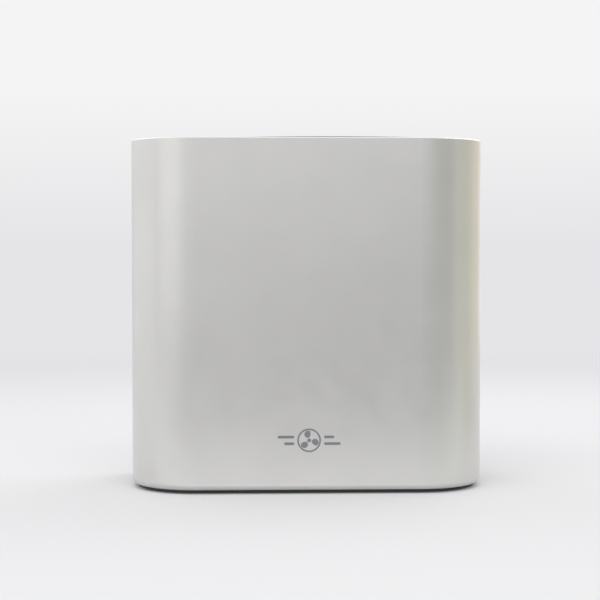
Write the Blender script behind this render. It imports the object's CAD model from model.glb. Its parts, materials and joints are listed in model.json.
import json
from math import atan, atan2, cos, pi, radians, sin

import bmesh
import bpy
from mathutils import Matrix, Vector


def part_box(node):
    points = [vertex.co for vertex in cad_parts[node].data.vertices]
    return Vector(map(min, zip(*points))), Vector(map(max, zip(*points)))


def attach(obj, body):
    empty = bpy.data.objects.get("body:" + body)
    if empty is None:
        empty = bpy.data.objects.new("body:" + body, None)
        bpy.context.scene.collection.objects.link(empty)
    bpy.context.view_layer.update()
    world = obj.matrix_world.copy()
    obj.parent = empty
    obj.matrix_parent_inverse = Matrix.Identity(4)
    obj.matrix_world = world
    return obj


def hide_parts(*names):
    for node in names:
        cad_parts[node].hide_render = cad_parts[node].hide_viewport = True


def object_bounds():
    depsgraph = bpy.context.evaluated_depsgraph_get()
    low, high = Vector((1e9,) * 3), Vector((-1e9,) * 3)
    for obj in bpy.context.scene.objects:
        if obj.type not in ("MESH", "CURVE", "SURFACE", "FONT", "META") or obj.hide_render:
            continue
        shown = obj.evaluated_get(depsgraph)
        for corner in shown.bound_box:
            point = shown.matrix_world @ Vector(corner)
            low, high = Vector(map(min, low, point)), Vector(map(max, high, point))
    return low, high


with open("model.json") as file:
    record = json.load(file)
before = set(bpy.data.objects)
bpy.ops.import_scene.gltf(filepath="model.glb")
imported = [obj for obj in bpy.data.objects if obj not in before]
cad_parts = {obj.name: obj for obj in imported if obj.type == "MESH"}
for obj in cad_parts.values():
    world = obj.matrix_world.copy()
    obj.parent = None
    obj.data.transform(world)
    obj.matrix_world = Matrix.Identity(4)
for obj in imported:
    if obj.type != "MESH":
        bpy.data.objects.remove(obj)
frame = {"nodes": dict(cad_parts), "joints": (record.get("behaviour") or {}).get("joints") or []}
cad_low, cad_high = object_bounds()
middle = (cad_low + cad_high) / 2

# Metres, +Z up, the room side faces -Y. A single-room heat recovery unit in a plain pale studio.
MM = 0.001

# Camera: just left of the middle, a little above it, looking slightly right and down.
CAMERA_PLACE = (-0.0653, -1.7287, 0.2686)
CAMERA_TURN = 1.950
CAMERA_TILT = -2.065
CAMERA_LENS = 91.13
SENSOR = 36.0

# Marks on the buttons, in millimetres: line radius, and the radius and depth of the buttons' dish.
LINE_R = 0.28
DISH_R = 30.0
DISH_DEPTH = 0.6

# Mains rocker: its tilt at rest in degrees, the slope of its two halves, the height of the valley
# between them, and the middle of each half's mark, in millimetres.
ROCKER_TILT = 8.0
ROCKER_SLOPE = 0.1
VALLEY_Z = 2.2
MARK_Y = 5.6

# Screws, in millimetres: thread crest and root radius, thread pitch, and the height of a domed and a
# countersunk head.
CREST_R = 1.5
ROOT_R = 1.2
PITCH = 0.6
DOME_H = 1.7
COUNTERSINK_H = 2.0

# Ribs on the back panel, in millimetres: width, height, bevel, gap to the border, the border's
# distance from the panel's sides, foot and top, and the uprights' places and free heights above and
# below the wall bracket. The flow arrows stand at ARROW_X.
RIB_WIDTH = 2.4
RIB_HEIGHT = 0.9
RIB_BEVEL = 0.4
RIB_GAP = 6
BORDER_SIDE, BORDER_FOOT, BORDER_TOP = 12, 6, 8
UPPER_RIB_XS = (62, 90, 118, 146)
LOWER_RIB_XS = (6, 34, *UPPER_RIB_XS)
UPPER_RIB_FOOT = 248.0
LOWER_RIB_ENDS = (62.0, 138.0)
ARROW_X = -26

# Points on a full circle, steps on an arc, steps round a bar's end and points round the fan's outline.
CIRCLE_POINTS = 32
ARC_STEPS = 24
END_STEPS = 8
FAN_STEPS = 72
# Depth in millimetres to which a raised shape's foot is sunk, and the turn in degrees that stays sharp.
SINK = 0.2
SHARP_ANGLE = 35.0

# Texture nodes: even stretch, and the wave texture's scale for bands one metre apart.
EVEN = (1, 1, 1)
WAVE_SCALE = 0.314

# Studio: the floor's size, where it fades into the backdrop, as distances from the unit, its colour
# and faint glow, and the height of the cards that lie on it.
FLOOR_RADIUS = 30.0
FADE_START = 0.7
FADE_END = 2.4
FLOOR_COLOUR = (0.585, 0.585, 0.59)
FLOOR_GLOW = 0.12
CARD_HEIGHT = 0.002
# Height on the unit sphere of directions at which the backdrop reaches its full level.
BACKDROP_RISE = 0.1


def srgb(red, green, blue):
    """Linear colour of three levels from 0 to 255."""
    return tuple(
        level / 3294.6 if level <= 10.31 else ((level / 255 + 0.055) / 1.055) ** 2.4
        for level in (red, green, blue)
    )


HORIZON = srgb(229, 229, 231)
BACKDROP = srgb(244, 244, 245)


# ---------------------------------------------------------------- material helpers


class Finish:
    """A material whose colour, roughness and relief come from texture nodes."""

    def __init__(self, name, roughness, metallic=0.0, **sockets):
        self.material = bpy.data.materials.new(name)
        self.material.use_nodes = True
        self.tree = self.material.node_tree
        self.shader = self.tree.nodes["Principled BSDF"]
        self.shader.inputs["Roughness"].default_value = roughness
        self.shader.inputs["Metallic"].default_value = metallic
        for socket, value in sockets.items():
            self.shader.inputs[socket.replace("_", " ")].default_value = value
        self.place = self.tree.nodes.new("ShaderNodeTexCoord").outputs["Object"]

    def wire(self, start, end):
        self.tree.links.new(start, end)

    def spread(self, stretch):
        """Object coordinates, stretched along each axis."""
        mapping = self.tree.nodes.new("ShaderNodeMapping")
        mapping.inputs["Scale"].default_value = stretch
        self.wire(self.place, mapping.inputs["Vector"])
        return mapping.outputs["Vector"]

    def noise(self, size, detail=3.0, stretch=EVEN, distortion=0.0):
        """Noise whose features are about size millimetres wide."""
        node = self.tree.nodes.new("ShaderNodeTexNoise")
        node.inputs["Scale"].default_value = 1 / (size * MM)
        node.inputs["Detail"].default_value = detail
        node.inputs["Distortion"].default_value = distortion
        self.wire(self.spread(stretch), node.inputs["Vector"])
        return node.outputs["Fac"]

    def cells(self, size, feature="F1", output="Distance"):
        """Cells about size millimetres wide."""
        node = self.tree.nodes.new("ShaderNodeTexVoronoi")
        node.feature = feature
        node.inputs["Scale"].default_value = 1 / (size * MM)
        self.wire(self.place, node.inputs["Vector"])
        return node.outputs[output]

    def diagonal_bands(self, size):
        """Straight slanting bands about size millimetres apart."""
        node = self.tree.nodes.new("ShaderNodeTexWave")
        node.bands_direction = "DIAGONAL"
        node.inputs["Scale"].default_value = WAVE_SCALE / (size * MM)
        self.wire(self.place, node.inputs["Vector"])
        return node.outputs["Fac"]

    def rescale(self, factor, source, target):
        """The factor with one range of values mapped to another."""
        node = self.tree.nodes.new("ShaderNodeMapRange")
        for socket, value in zip(("From Min", "From Max", "To Min", "To Max"), (*source, *target)):
            node.inputs[socket].default_value = value
        self.wire(factor, node.inputs["Value"])
        return node.outputs["Result"]

    def ramp(self, factor, *stops):
        """Colour ramp through (position, colour) stops."""
        node = self.tree.nodes.new("ShaderNodeValToRGB")
        elements = node.color_ramp.elements
        while len(elements) < len(stops):
            elements.new(0.5)
        for element, (position, colour) in zip(elements, stops):
            element.position = position
            element.color = (*colour, 1.0)
        self.wire(factor, node.inputs["Fac"])
        return node.outputs["Color"]

    def mix(self, factor, first, second, blend="MIX"):
        """Two colours mixed by a number or by an output."""
        node = self.tree.nodes.new("ShaderNodeMix")
        node.data_type = "RGBA"
        node.blend_type = blend
        if isinstance(factor, float):
            node.inputs[0].default_value = factor
        else:
            self.wire(factor, node.inputs[0])
        self.wire(first, node.inputs[6])
        self.wire(second, node.inputs[7])
        return node.outputs[2]

    def colour(self, output):
        self.wire(output, self.shader.inputs["Base Color"])

    def gloss(self, factor, low, high):
        """Roughness from low to high as the factor goes from 0.3 to 0.7."""
        self.wire(self.rescale(factor, (0.3, 0.7), (low, high)), self.shader.inputs["Roughness"])

    def relief(self, *layers):
        """Bumps, each a (height output, depth in millimetres) pair."""
        normal = None
        for height, depth in layers:
            node = self.tree.nodes.new("ShaderNodeBump")
            node.inputs["Distance"].default_value = depth * MM
            self.wire(height, node.inputs["Height"])
            if normal is not None:
                self.wire(normal, node.inputs["Normal"])
            normal = node.outputs["Normal"]
        self.wire(normal, self.shader.inputs["Normal"])


def tone(colour, factor):
    """The colour made lighter or darker."""
    return tuple(min(1.0, level * factor) for level in colour)


def speckled(finish, colour, spread, *factors):
    """Base colour that varies by the given share with each noise in turn."""
    layers = [
        finish.ramp(factor, (0.3, tone(colour, 1 - spread)), (0.7, tone(colour, 1 + spread)))
        for factor in factors
    ]
    result = layers[0]
    for layer in layers[1:]:
        result = finish.mix(0.5, result, layer)
    finish.colour(result)


# ---------------------------------------------------------------- materials


def satin_paint(name, colour):
    """Silver metallic paint with fine flake, a faint orange peel and slight handling marks."""
    finish = Finish(name, 0.33, 0.75)
    flake = finish.noise(0.45, 1.0)
    cloud = finish.noise(60, 2.0)
    speckled(finish, colour, 0.035, flake, cloud)
    finish.gloss(finish.noise(25, 4.0), 0.31, 0.36)
    finish.relief((finish.noise(2.6, 2.0), 0.010), (flake, 0.004))
    return finish.material


def moulded(name, colour, grain, depth, roughness):
    """Moulded plastic with a spark-eroded grain and slight flow marks."""
    finish = Finish(name, roughness)
    flow = finish.noise(70, 2.0, distortion=0.6)
    fine = finish.noise(grain, 2.0)
    speckled(finish, colour, 0.035, flow, fine)
    finish.gloss(flow, roughness - 0.05, roughness + 0.06)
    finish.relief((fine, depth), (finish.cells(grain * 1.7), depth * 0.6))
    return finish.material


def glossy(name, colour):
    """Polished plastic with faint wipe marks."""
    finish = Finish(name, 0.08, Coat_Weight=0.4, Coat_Roughness=0.05)
    wipes = finish.noise(6, 3.0, stretch=(1, 6, 1))
    speckled(finish, colour, 0.05, wipes)
    finish.gloss(wipes, 0.08, 0.15)
    finish.relief((finish.noise(4, 2.0), 0.004))
    return finish.material


def lens(name, colour):
    """Milky light guide."""
    finish = Finish(name, 0.18, Transmission_Weight=0.35, Subsurface_Weight=0.3, Subsurface_Scale=0.001)
    cloud = finish.noise(1.2, 3.0)
    speckled(finish, colour, 0.05, cloud)
    finish.gloss(cloud, 0.14, 0.24)
    finish.relief((cloud, 0.01))
    return finish.material


def zinc(name, colour):
    """Zinc-plated steel with a crystalline spangle."""
    finish = Finish(name, 0.36, 1.0)
    spangle = finish.cells(5.0, output="Color")
    cloud = finish.noise(14, 4.0)
    grey = finish.ramp(cloud, (0.3, tone(colour, 0.86)), (0.7, tone(colour, 1.08)))
    shade = finish.ramp(spangle, (0.0, tone(colour, 0.82)), (1.0, tone(colour, 1.1)))
    finish.colour(finish.mix(0.45, grey, shade))
    finish.gloss(cloud, 0.28, 0.44)
    finish.relief((finish.noise(0.5, 2.0), 0.012), (finish.noise(9, 2.0), 0.03))
    return finish.material


def brushed(name, colour, stretch, roughness):
    """Metal with fine scratches along one direction."""
    finish = Finish(name, roughness, 1.0, Anisotropic=0.4)
    scratches = finish.noise(1.2, 5.0, stretch=stretch)
    speckled(finish, colour, 0.09, scratches, finish.noise(20, 2.0))
    finish.gloss(scratches, roughness - 0.08, roughness + 0.1)
    finish.relief((scratches, 0.006))
    return finish.material


def rubber(name, colour):
    """Matt rubber with a dusty bloom."""
    finish = Finish(name, 0.78, Specular_IOR_Level=0.3)
    bloom = finish.noise(7, 4.0)
    grain = finish.noise(0.5, 2.0)
    speckled(finish, colour, 0.3, bloom, grain)
    finish.gloss(bloom, 0.72, 0.86)
    finish.relief((grain, 0.03))
    return finish.material


def bead_foam(name, colour):
    """Expanded foam: fused round beads with dark joints."""
    finish = Finish(name, 0.88, Specular_IOR_Level=0.25)
    distance = finish.cells(3.4)
    joint = finish.cells(3.4, feature="DISTANCE_TO_EDGE")
    bead = finish.cells(3.4, output="Color")
    body = finish.ramp(bead, (0.1, tone(colour, 0.82)), (0.9, tone(colour, 1.25)))
    edge = finish.ramp(joint, (0.0, tone(colour, 0.45)), (0.12, (1.0, 1.0, 1.0)))
    finish.colour(finish.mix(1.0, body, edge, "MULTIPLY"))
    finish.relief((finish.rescale(distance, (0.0, 0.8), (1.0, 0.0)), 0.35), (finish.noise(0.8), 0.05))
    return finish.material


def fleece(name, colour):
    """Filter fleece with matted fibres and a little collected dust."""
    finish = Finish(name, 0.92, Sheen_Weight=0.25, Sheen_Roughness=0.6)
    fibre = finish.noise(1.0, 6.0, stretch=(1, 1, 3), distortion=1.5)
    dust = finish.noise(22, 4.0)
    speckled(finish, colour, 0.08, fibre, dust)
    finish.relief((fibre, 0.12))
    return finish.material


def circuit_board(name, colour):
    """Solder resist over copper tracks."""
    finish = Finish(name, 0.34)
    track = finish.tree.nodes.new("ShaderNodeTexBrick")
    track.inputs["Scale"].default_value = 140.0
    track.inputs["Mortar Size"].default_value = 0.022
    track.inputs["Color1"].default_value = (*colour, 1.0)
    track.inputs["Color2"].default_value = (*tone(colour, 0.82), 1.0)
    track.inputs["Mortar"].default_value = (*tone(colour, 1.9), 1.0)
    finish.wire(finish.place, track.inputs["Vector"])
    resist = finish.noise(8, 3.0)
    veil = finish.ramp(resist, (0.3, (0.85, 0.85, 0.85)), (0.7, (1.0, 1.0, 1.0)))
    finish.colour(finish.mix(1.0, track.outputs["Color"], veil, "MULTIPLY"))
    finish.gloss(resist, 0.28, 0.42)
    finish.relief((track.outputs["Fac"], 0.04))
    return finish.material


def enamelled_wire(name, colour):
    """Close turns of copper wire."""
    finish = Finish(name, 0.3, 0.9, Coat_Weight=0.5, Coat_Roughness=0.12)
    turns = finish.diagonal_bands(0.6)
    finish.colour(finish.ramp(turns, (0.0, tone(colour, 0.45)), (0.5, tone(colour, 1.15))))
    finish.gloss(finish.noise(3, 2.0), 0.22, 0.38)
    finish.relief((turns, 0.15))
    return finish.material


def finishes():
    """One material for each of the record's slots."""
    return {
        "cover_silver": satin_paint("cover_silver", (0.665, 0.66, 0.645)),
        "button_silver": satin_paint("button_silver", (0.56, 0.56, 0.54)),
        "emblem_grey": moulded("emblem_grey", srgb(122, 121, 127), 0.5, 0.01, 0.4),
        "casing_white": moulded("casing_white", (0.70, 0.71, 0.71), 0.9, 0.03, 0.5),
        "base_black": moulded("base_black", (0.022, 0.022, 0.024), 1.0, 0.05, 0.55),
        "duct_grey": moulded("duct_grey", (0.30, 0.31, 0.32), 0.8, 0.02, 0.42),
        "top_grey": moulded("top_grey", (0.40, 0.40, 0.39), 0.8, 0.03, 0.5),
        "strip_grey": moulded("strip_grey", (0.18, 0.18, 0.185), 0.6, 0.015, 0.38),
        "component_black": moulded("component_black", (0.03, 0.03, 0.033), 0.5, 0.02, 0.5),
        "terminal_green": moulded("terminal_green", (0.05, 0.30, 0.12), 0.5, 0.02, 0.45),
        "fan_black": moulded("fan_black", (0.028, 0.028, 0.031), 0.6, 0.03, 0.52),
        "filter_white": moulded("filter_white", (0.74, 0.74, 0.72), 0.7, 0.02, 0.46),
        "flap_grey": moulded("flap_grey", (0.20, 0.205, 0.21), 0.7, 0.02, 0.45),
        "zinc_steel": zinc("zinc_steel", (0.60, 0.61, 0.63)),
        "shaft_steel": brushed("shaft_steel", (0.62, 0.62, 0.64), (8, 0.4, 8), 0.26),
        "core_aluminium": brushed("core_aluminium", (0.80, 0.81, 0.82), (6, 6, 0.5), 0.34),
        "black_rubber": rubber("black_rubber", (0.02, 0.02, 0.02)),
        "grey_foam": bead_foam("grey_foam", (0.13, 0.13, 0.14)),
        "lens_white": lens("lens_white", (0.80, 0.83, 0.80)),
        "window_black": glossy("window_black", (0.012, 0.011, 0.014)),
        "board_green": circuit_board("board_green", (0.015, 0.11, 0.045)),
        "copper": enamelled_wire("copper", (0.72, 0.33, 0.16)),
        "filter_fleece": fleece("filter_fleece", (0.80, 0.81, 0.79)),
    }


FINISH = finishes()
for part in frame["nodes"].values():
    for holder in part.material_slots:
        holder.material = FINISH[holder.material.name]


# ---------------------------------------------------------------- piece helpers


def circle(radius, height):
    """Points of a level circle about Z."""
    turns = [2 * pi * i / CIRCLE_POINTS for i in range(CIRCLE_POINTS)]
    return [(radius * cos(turn), radius * sin(turn), height) for turn in turns]


def skin(shape, levels):
    """Faces between rings of points that follow each other; returns the first and last ring."""
    rings = [[shape.verts.new(point) for point in level] for level in levels]
    for lower, upper in zip(rings, rings[1:]):
        for i in range(len(lower)):
            j = (i + 1) % len(lower)
            shape.faces.new((lower[i], lower[j], upper[j], upper[i]))
    return rings[0], rings[-1]


def closed_skin(shape, levels):
    """Closed band of faces between rings of points, the last of which joins the first."""
    skin(shape, [*levels, levels[0]])
    bmesh.ops.remove_doubles(shape, verts=shape.verts, dist=0.01)


def ring_edges(shape, ring):
    """Edges that join neighbouring points of a closed ring."""
    return [shape.edges.get((ring[i - 1], ring[i])) for i in range(len(ring))]


def raised(shape, outline, height, bevel=0.2):
    """Raised flat shape with a bevelled top; its outline is in X and Y and its foot is sunk a little."""
    foot = shape.faces.new([shape.verts.new((x, y, -SINK)) for x, y in outline])
    grown = bmesh.ops.extrude_face_region(shape, geom=[foot])["geom"]
    top = next(item for item in grown if isinstance(item, bmesh.types.BMFace))
    bmesh.ops.translate(shape, vec=(0, 0, height + SINK), verts=list(top.verts))
    bmesh.ops.bevel(shape, geom=list(top.edges), offset=bevel, segments=2, affect="EDGES")


def rounded_bar(x0, y0, x1, y1, width):
    """Outline of a bar with round ends from one point to another."""
    heading = atan2(y1 - y0, x1 - x0)
    outline = []
    for x, y, start in ((x1, y1, heading - pi / 2), (x0, y0, heading + pi / 2)):
        for i in range(END_STEPS + 1):
            turn = start + pi * i / END_STEPS
            outline.append((x + width / 2 * cos(turn), y + width / 2 * sin(turn)))
    return outline


def facing(direction, place):
    """Matrix for a shape in millimetres: its Z along a direction, its Y up, its origin at a place."""
    turn = Vector(direction).to_track_quat("Z", "Y").to_matrix().to_4x4()
    return Matrix.Translation(place) @ turn @ Matrix.Scale(MM, 4)


def finished(name, shape, finish, place):
    """Placed mesh with one finish, smooth wherever its faces turn by less than the sharp angle."""
    mesh = bpy.data.meshes.new(name)
    bmesh.ops.recalc_face_normals(shape, faces=shape.faces)
    bmesh.ops.transform(shape, matrix=place, verts=shape.verts)
    shape.to_mesh(mesh)
    shape.free()
    mesh.materials.append(FINISH[finish])
    mesh.shade_smooth()
    mesh.set_sharp_from_angle(angle=radians(SHARP_ANGLE))
    return mesh


def add_piece(name, data, body):
    """Put a mesh or curve in the scene so that it moves with a CAD body."""
    piece = bpy.data.objects.new(name, data)
    bpy.context.scene.collection.objects.link(piece)
    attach(piece, body)
    return piece


def solid_boxes(node):
    """Lowest and highest corner of each separate solid of a CAD node."""
    joined = bmesh.new()
    joined.from_mesh(frame["nodes"][node].data)
    bmesh.ops.remove_doubles(joined, verts=joined.verts, dist=1e-6)
    boxes = []
    seen = set()
    for start in joined.verts:
        if start in seen:
            continue
        seen.add(start)
        solid = [start]
        for vertex in solid:
            for edge in vertex.link_edges:
                other = edge.other_vert(vertex)
                if other not in seen:
                    seen.add(other)
                    solid.append(other)
        columns = list(zip(*(vertex.co for vertex in solid)))
        boxes.append((Vector(map(min, columns)), Vector(map(max, columns))))
    joined.free()
    return boxes


# ---------------------------------------------------------------- screws


def recess(width, height):
    """Corners of a cross recess at a height, anticlockwise."""
    arm, half = width / 2, width / 7
    corners = []
    for quarter in range(4):
        turn = Matrix.Rotation(pi / 2 * quarter, 3, "Z")
        for x, y in ((arm, -half), (arm, half), (half, half)):
            corners.append(turn @ Vector((x, y, height)))
    return corners


def screw(profile):
    """Screw about Z from (radius, height) pairs, with a cross recess in the flat on its crown."""
    shape = bmesh.new()
    tip, rim = skin(shape, [circle(radius, height) for radius, height in profile])
    shape.faces.new(tip)
    flat, crown = profile[-1]
    walls = [recess(share * flat, crown - depth) for share, depth in ((1.7, 0.0), (1.6, 0.2), (0.9, 1.3))]
    mouth, pit = skin(shape, walls)
    shape.faces.new(pit)
    border = ring_edges(shape, rim) + ring_edges(shape, mouth)
    bmesh.ops.triangle_fill(shape, edges=border, use_beauty=True)
    return shape


def shank_profile(length, seat):
    """Threaded shank with a blunt tip, up to the seat below the head."""
    profile = [(0.9, -length), (ROOT_R, 0.5 - length)]
    height = 1.0 - length
    while height < seat - 0.5:
        profile += [(CREST_R, height), (ROOT_R, height + PITCH / 2)]
        height += PITCH
    return profile + [(1.3, seat)]


def case_screws():
    """Cross-head screws where the CAD has plain ones: domed on the panels, countersunk below."""
    for number, (low, high) in enumerate(solid_boxes("case_screws"), 1):
        size = (high - low) / MM
        axis = max(range(3), key=lambda i: size[i])
        head = (low + high) / 2
        direction = Vector((0, 0, 0))
        direction[axis] = 1 if head[axis] > middle[axis] else -1
        head += direction * size[axis] / 2 * MM
        radius = min(size) / 2
        if axis == 2:
            profile = shank_profile(size[axis], -COUNTERSINK_H) + [(radius, 0.0), (radius - 0.2, 0.0)]
        else:
            profile = shank_profile(size[axis], -DOME_H) + [(radius, -DOME_H), (radius, -1.0)]
            profile += [(radius - 0.3, -0.5), (radius - 0.8, -0.15), (radius - 1.3, 0.0)]
        name = f"case_screw_{number:02d}"
        mesh = finished(name, screw(profile), "zinc_steel", facing(direction, head))
        piece = add_piece(name, mesh, "unit")
        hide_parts("case_screws")


# ---------------------------------------------------------------- marks on the buttons and the switch


def arc(radius, start, end):
    """Points of an arc, with its angles in degrees."""
    turns = [radians(start + (end - start) * i / ARC_STEPS) for i in range(ARC_STEPS + 1)]
    return [(radius * cos(turn), radius * sin(turn)) for turn in turns]


def power_mark():
    """Open circle with a bar in its gap."""
    return [arc(2.3, 125, 415), [(0.0, 0.9), (0.0, 2.9)]]


def fan_mark():
    """Outline of a four-bladed fan."""
    turns = [2 * pi * i / FAN_STEPS for i in range(FAN_STEPS + 1)]
    return [[(2.7 * sin(2 * turn) * cos(turn), 2.7 * sin(2 * turn) * sin(turn)) for turn in turns]]


def timer_mark():
    """Clock face with two hands."""
    return [arc(2.5, 0, 360), [(0.0, 1.6), (0.0, 0.0), (1.2, -0.6)]]


def button_mark(button, body, strokes):
    """Raised lines that follow the button's dished top."""
    name = f"{button}_mark"
    low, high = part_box(button)
    centre = (low + high) / 2
    data = bpy.data.curves.new(name, "CURVE")
    data.dimensions = "3D"
    data.bevel_depth = LINE_R * MM
    data.bevel_resolution = 2
    data.use_fill_caps = True
    data.materials.append(FINISH["emblem_grey"])
    for stroke in strokes:
        spline = data.splines.new("POLY")
        spline.points.add(len(stroke) - 1)
        for point, (x, y) in zip(spline.points, stroke):
            rise = (x * x + y * y) / (2 * DISH_R) - DISH_DEPTH
            point.co = (centre.x + x * MM, centre.y + y * MM, high.z + rise * MM, 1.0)
    add_piece(name, data, body)


def pivot(joint_name):
    """Place of a joint's axis."""
    return next(joint["pos_m"] for joint in frame["joints"] if joint["name"] == joint_name)


def rocker_marks():
    """A bar and a ring in relief on the two halves of the tilted rocker."""
    tilted = Matrix.Translation(pivot("mains_rocker_tilt")) @ Matrix.Rotation(radians(-ROCKER_TILT), 4, "X")
    bar, ring = bmesh.new(), bmesh.new()
    raised(bar, rounded_bar(0.0, -1.6, 0.0, 1.6, 0.7), 0.15, bevel=0.08)
    profile = ((2.0, -0.2), (2.0, 0.1), (1.9, 0.15), (1.4, 0.15), (1.3, 0.1), (1.3, -0.2))
    closed_skin(ring, [circle(radius, height) for radius, height in profile])
    for name, shape, side in (("rocker_bar", bar, 1), ("rocker_ring", ring, -1)):
        on_half = Matrix.Translation((0.0, side * MARK_Y * MM, (VALLEY_Z + ROCKER_SLOPE * MARK_Y) * MM))
        sloped = Matrix.Rotation(side * atan(ROCKER_SLOPE), 4, "X") @ Matrix.Scale(MM, 4)
        mesh = finished(name, shape, "casing_white", tilted @ on_half @ sloped)
        add_piece(name, mesh, "mains_rocker")


# ---------------------------------------------------------------- back


def add_rear_piece(name, shape, finish):
    """Put a raised shape on the back panel; its X runs to the left of the unit, as seen from behind."""
    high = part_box("rear_panel")[1]
    mesh = finished(name, shape, finish, facing((0, 1, 0), (0.0, high.y, 0.0)))
    add_piece(name, mesh, "unit")


def border_rib(shape, edge, foot, top):
    """Closed rib round the back panel, with bevelled edges."""
    levels = []
    half, crown, shoulder = RIB_WIDTH / 2, RIB_WIDTH / 2 - RIB_BEVEL, RIB_HEIGHT - RIB_BEVEL
    outer = ((half, -SINK), (half, shoulder), (crown, RIB_HEIGHT))
    inner = ((-crown, RIB_HEIGHT), (-half, shoulder), (-half, -SINK))
    for grow, height in (*outer, *inner):
        x, low, high = edge + grow, foot - grow, top + grow
        levels.append([(-x, low, height), (x, low, height), (x, high, height), (-x, high, height)])
    closed_skin(shape, levels)


def rear_ribs():
    """Stiffening ribs on the back panel: a border, and uprights clear of the bracket, pads and openings."""
    low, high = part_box("rear_panel")
    edge, foot, top = high.x / MM - BORDER_SIDE, low.z / MM + BORDER_FOOT, high.z / MM - BORDER_TOP
    lines = [(x, UPPER_RIB_FOOT, x, top - RIB_GAP) for x in UPPER_RIB_XS]
    lines += [(x, LOWER_RIB_ENDS[0], x, LOWER_RIB_ENDS[1]) for x in LOWER_RIB_XS]
    shape = bmesh.new()
    border_rib(shape, edge, foot, top)
    for line in lines:
        raised(shape, rounded_bar(*line, RIB_WIDTH), RIB_HEIGHT, bevel=RIB_BEVEL)
    add_rear_piece("rear_ribs", shape, "casing_white")


def flow_arrows():
    """An arrow beside each duct: away from the exhaust above, towards the intake below."""
    outline = [(-9, -1.5), (3, -1.5), (3, -5), (11, 0), (3, 5), (3, 1.5), (-9, 1.5)]
    for name, joint_name, heading in (
        ("exhaust_arrow", "exhaust_left_flap_turn", 1),
        ("intake_arrow", "intake_left_flap_turn", -1),
    ):
        height = pivot(joint_name)[2] / MM
        shape = bmesh.new()
        raised(shape, [(heading * x + ARROW_X, height + y) for x, y in outline], 0.5)
        add_rear_piece(name, shape, "emblem_grey")


case_screws()
for key, strokes in (("power", power_mark()), ("speed", fan_mark()), ("timer", timer_mark())):
    button_mark(f"{key}_button", f"{key}_key", strokes)
rocker_marks()
rear_ribs()
flow_arrows()


# ---------------------------------------------------------------- studio


def studio_floor():
    """Plain pale floor that fades into the backdrop far from the unit."""
    finish = Finish("studio_floor", 0.9, Specular_IOR_Level=0.0)
    tree = finish.tree
    speckled(finish, FLOOR_COLOUR, 0.004, finish.noise(400, 2.0))
    finish.shader.inputs["Emission Color"].default_value = (*HORIZON, 1.0)
    finish.shader.inputs["Emission Strength"].default_value = FLOOR_GLOW
    distance = tree.nodes.new("ShaderNodeVectorMath")
    distance.operation = "LENGTH"
    finish.wire(finish.place, distance.inputs[0])
    glow = tree.nodes.new("ShaderNodeEmission")
    glow.inputs["Color"].default_value = (*HORIZON, 1.0)
    blend = tree.nodes.new("ShaderNodeMixShader")
    fade = finish.rescale(distance.outputs["Value"], (FADE_START, FADE_END), (0.0, 1.0))
    fade.node.interpolation_type = "SMOOTHSTEP"
    finish.wire(fade, blend.inputs["Fac"])
    finish.wire(finish.shader.outputs["BSDF"], blend.inputs[1])
    finish.wire(glow.outputs["Emission"], blend.inputs[2])
    finish.wire(blend.outputs["Shader"], tree.nodes["Material Output"].inputs["Surface"])
    mesh = bpy.data.meshes.new("studio_floor")
    disc = bmesh.new()
    bmesh.ops.create_circle(disc, cap_ends=True, segments=96, radius=FLOOR_RADIUS)
    disc.to_mesh(mesh)
    disc.free()
    mesh.materials.append(finish.material)
    floor = bpy.data.objects.new("studio_floor", mesh)
    bpy.context.scene.collection.objects.link(floor)


def studio_world():
    """Plain pale backdrop all round, a little darker towards the floor."""
    world = bpy.data.worlds.new("studio")
    world.use_nodes = True
    tree = world.node_tree
    direction = tree.nodes.new("ShaderNodeTexCoord").outputs["Generated"]
    split = tree.nodes.new("ShaderNodeSeparateXYZ")
    level = tree.nodes.new("ShaderNodeValToRGB")
    low, high = level.color_ramp.elements
    low.position, low.color = 0.0, (*HORIZON, 1.0)
    high.position, high.color = BACKDROP_RISE, (*BACKDROP, 1.0)
    tree.links.new(direction, split.inputs["Vector"])
    tree.links.new(split.outputs["Z"], level.inputs["Fac"])
    tree.links.new(level.outputs["Color"], tree.nodes["Background"].inputs["Color"])
    bpy.context.scene.world = world


def aim(thing, place, target):
    """Put a light or card at a place, facing a point."""
    thing.location = place
    thing.rotation_euler = (Vector(target) - Vector(place)).to_track_quat("-Z", "Y").to_euler()
    bpy.context.scene.collection.objects.link(thing)
    thing.visible_camera = False


def card(name, place, target, width, height, level):
    """Studio card that only reflections see, so that it shapes the gloss and not the floor."""
    material = bpy.data.materials.new(name)
    material.use_nodes = True
    tree = material.node_tree
    glow = tree.nodes.new("ShaderNodeEmission")
    glow.inputs["Color"].default_value = (*level, 1.0)
    tree.links.new(glow.outputs["Emission"], tree.nodes["Material Output"].inputs["Surface"])
    mesh = bpy.data.meshes.new(name)
    x, y = width / 2, height / 2
    mesh.from_pydata([(-x, -y, 0), (x, -y, 0), (x, y, 0), (-x, y, 0)], [], [(0, 1, 2, 3)])
    mesh.materials.append(material)
    panel = bpy.data.objects.new(name, mesh)
    aim(panel, place, target)
    panel.visible_diffuse = False
    panel.visible_shadow = False


def soft_light(name, place, target, width, height, power):
    """Rectangular soft light aimed at a point."""
    data = bpy.data.lights.new(name, "AREA")
    data.shape = "RECTANGLE"
    data.size = width
    data.size_y = height
    data.energy = power
    aim(bpy.data.objects.new(name, data), place, target)


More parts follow.
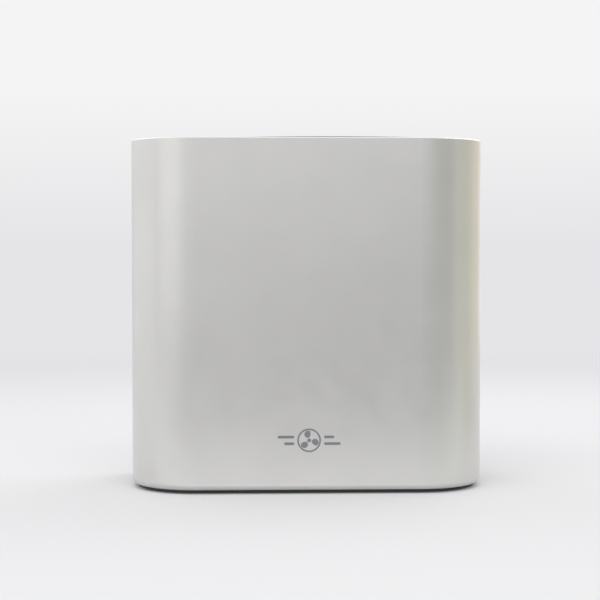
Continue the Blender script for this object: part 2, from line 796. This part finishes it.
def studio_camera():
    """Camera at the viewing angle of the room side."""
    data = bpy.data.cameras.new("camera")
    data.lens = CAMERA_LENS
    data.sensor_width = SENSOR
    camera = bpy.data.objects.new("camera", data)
    camera.location = CAMERA_PLACE
    camera.rotation_euler = (radians(90 + CAMERA_TILT), 0.0, radians(-CAMERA_TURN))
    bpy.context.scene.collection.objects.link(camera)
    bpy.context.scene.camera = camera


bpy.context.scene.view_settings.view_transform = "Standard"
studio_floor()
studio_world()
studio_camera()

# Lights: place, width, height and power.
for name, place, width, height, power in (
    ("key_light", (0.8, 0.9, 1.4), 1.4, 1.4, 8.0),
    ("fill_light", (-0.9, 0.9, 1.4), 1.4, 1.4, 4.6),
    ("top_light", (-0.2, -0.8, 1.5), 1.4, 0.8, 9.0),
):
    soft_light(name, place, middle, width, height, power)

# Cards that face the unit: the room on its right, the bright wall on its left, the warm wall behind it,
# and the ceiling that lights its rim.
for name, place, width, height, level in (
    ("dark_card", (1.5, -1.4, 0.5), 1.6, 1.6, (0.46, 0.47, 0.42)),
    ("side_card", (2.0, 0.0, 0.5), 1.3, 1.6, (0.61, 0.61, 0.50)),
    ("room_card", (1.2, -2.4, 0.16), 2.4, 0.66, (0.44, 0.44, 0.43)),
    ("light_card", (-1.6, 0.5, 0.6), 2.0, 1.4, (0.98, 0.98, 0.98)),
    ("left_card", (-1.42, -1.33, 0.8), 1.4, 1.6, (1.17, 1.17, 1.16)),
    ("warm_card", (1.5, 0.85, 0.6), 0.9, 1.4, (0.88, 0.80, 0.62)),
    ("ceiling_card", (0.0, -0.1, 1.9), 1.8, 1.4, (1.2, 1.2, 1.2)),
    ("rim_card", (0.9, 1.9, 0.6), 1.2, 1.4, (1.2, 1.2, 1.14)),
):
    card(name, place, middle, width, height, level)

# Cards flat on the floor, which shape its reflection in the cover.
for name, x, y, width, height, level in (
    ("table_card", 0.0, -1.5, 3.6, 2.0, (0.36, 0.36, 0.36)),
    ("side_table_card", 1.3, -0.05, 1.4, 0.9, (0.66, 0.66, 0.56)),
    ("apron_card", 0.0, -0.21, 1.6, 0.2, (0.96, 0.96, 0.96)),
):
    card(name, (x, y, CARD_HEIGHT), (x, y, -1.0), width, height, level)
